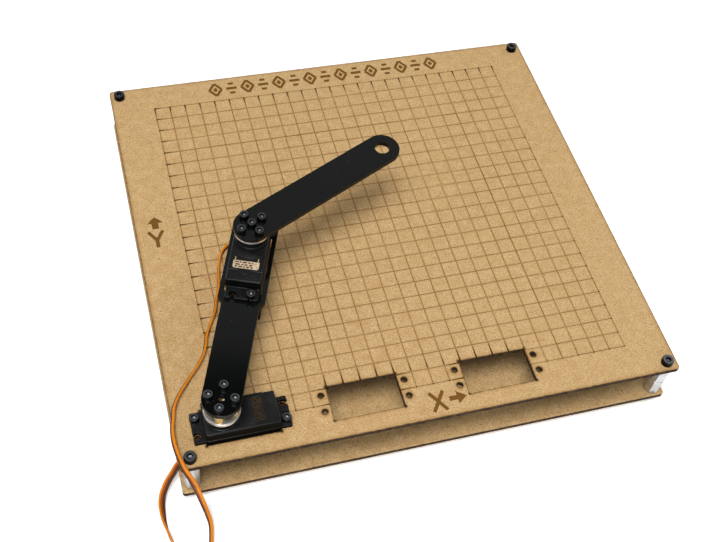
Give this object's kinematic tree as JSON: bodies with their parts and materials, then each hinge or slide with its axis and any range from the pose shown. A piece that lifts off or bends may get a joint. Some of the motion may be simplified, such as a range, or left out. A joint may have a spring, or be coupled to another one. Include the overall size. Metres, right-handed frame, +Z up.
{
  "type": "scara robot arm",
  "caption": "Two-link servo-driven SCARA arm with a pen hole, mounted at one corner of a raised double-deck plotting board with an engraved square grid and spare servo bays.",
  "frame": {"origin": "centre of the board's footprint on the table, under the foot screws' heads", "axes": "+X to the right along the front edge, +Y to the back edge, +Z up"},
  "size_m": [0.3456, 0.3551, 0.0922],
  "materials": {
    "fibreboard": "laser-cut medium-density fibreboard, sealed, speckled, with scorched cut edges",
    "black_acrylic": "cast acrylic sheet with a gloss face",
    "servo_case": "moulded black nylon, fine matte grain",
    "aluminium": "turned aluminium, bright",
    "brass": "turned brass",
    "steel": "machined steel",
    "black_screw": "black-oxide alloy steel",
    "circuit_board": "solder-masked circuit board with components",
    "plug_housing": "moulded black plug housing",
    "lead": "three-wire PVC ribbon lead: orange, red and brown"
  },
  "bodies": {
    "base": {"bottom_plate": "fibreboard", "top_plate": "fibreboard", "standoff_front_left": "aluminium", "deck_screw_front_left": "black_screw", "foot_screw_front_left": "black_screw", "standoff_front_right": "aluminium", "deck_screw_front_right": "black_screw", "foot_screw_front_right": "black_screw", "standoff_back_right": "aluminium", "deck_screw_back_right": "black_screw", "foot_screw_back_right": "black_screw", "standoff_back_left": "aluminium", "deck_screw_back_left": "black_screw", "foot_screw_back_left": "black_screw", "shoulder_servo_case_top": "servo_case", "shoulder_servo_case_middle": "servo_case", "shoulder_servo_case_bottom": "servo_case", "shoulder_servo_motor": "steel", "shoulder_servo_potentiometer": "servo_case", "shoulder_servo_control_board": "circuit_board", "shoulder_servo_ear_screw_1": "black_screw", "shoulder_servo_ear_screw_2": "black_screw", "shoulder_lead": "lead", "shoulder_lead_plug": "plug_housing", "elbow_lead": "lead", "elbow_lead_plug": "plug_housing"},
    "upper_arm": {"shoulder_servo_output_shaft": "steel", "shoulder_horn": "aluminium", "shoulder_horn_screw": "black_screw", "shoulder_spacer_1": "brass", "shoulder_spacer_2": "brass", "shoulder_spacer_3": "brass", "shoulder_spacer_4": "brass", "shoulder_link_screw_1": "black_screw", "shoulder_link_screw_2": "black_screw", "shoulder_link_screw_3": "black_screw", "shoulder_link_screw_4": "black_screw", "link_1_plate": "black_acrylic", "elbow_servo_case_top": "servo_case", "elbow_servo_case_middle": "servo_case", "elbow_servo_case_bottom": "servo_case", "elbow_servo_motor": "steel", "elbow_servo_potentiometer": "servo_case", "elbow_servo_control_board": "circuit_board", "elbow_servo_ear_screw_1": "black_screw", "elbow_servo_ear_screw_2": "black_screw"},
    "forearm": {"elbow_servo_output_shaft": "steel", "elbow_horn": "aluminium", "link_2_plate": "black_acrylic", "elbow_horn_screw": "black_screw", "elbow_link_screw_1": "black_screw", "elbow_link_screw_2": "black_screw", "elbow_link_screw_3": "black_screw", "elbow_link_screw_4": "black_screw"},
    "shoulder_idler": {"shoulder_servo_idler_gear": "brass"},
    "shoulder_pinion": {"shoulder_servo_motor_pinion": "brass"},
    "elbow_idler": {"elbow_servo_idler_gear": "brass"},
    "elbow_pinion": {"elbow_servo_motor_pinion": "brass"}
  },
  "joints": [
    {"name": "shoulder", "type": "hinge", "parent": "base", "child": "upper_arm", "pos_m": [-0.12065, -0.11945, 0.0532], "axis": [0, 0, 1], "range_deg": [-69.15, 110.85], "deforming": ["elbow_lead"]},
    {"name": "elbow", "type": "hinge", "parent": "upper_arm", "child": "forearm", "pos_m": [-0.08563, -0.02749, 0.0832], "axis": [0, 0, 1], "range_deg": [-46.45, 133.55]},
    {"name": "shoulder_idler_turn", "type": "hinge", "parent": "base", "child": "shoulder_idler", "pos_m": [-0.11075, -0.11945, 0.0402], "axis": [0, 0, 1], "range_deg": [-279, 174]},
    {"name": "shoulder_pinion_turn", "type": "hinge", "parent": "base", "child": "shoulder_pinion", "pos_m": [-0.10085, -0.11945, 0.0402], "axis": [0, 0, 1], "range_deg": [-434, 694]},
    {"name": "elbow_idler_turn", "type": "hinge", "parent": "upper_arm", "child": "elbow_idler", "pos_m": [-0.08915, -0.03674, 0.0702], "axis": [0, 0, 1], "range_deg": [-335, 118]},
    {"name": "elbow_pinion_turn", "type": "hinge", "parent": "upper_arm", "child": "elbow_pinion", "pos_m": [-0.09267, -0.046, 0.0702], "axis": [0, 0, 1], "range_deg": [-292, 836]}
  ],
  "couplings": [
    {"joint": "shoulder_idler_turn", "follows": "shoulder", "ratio": -2.5},
    {"joint": "shoulder_pinion_turn", "follows": "shoulder", "ratio": 6.25},
    {"joint": "elbow_idler_turn", "follows": "elbow", "ratio": -2.5},
    {"joint": "elbow_pinion_turn", "follows": "elbow", "ratio": 6.25}
  ]
}
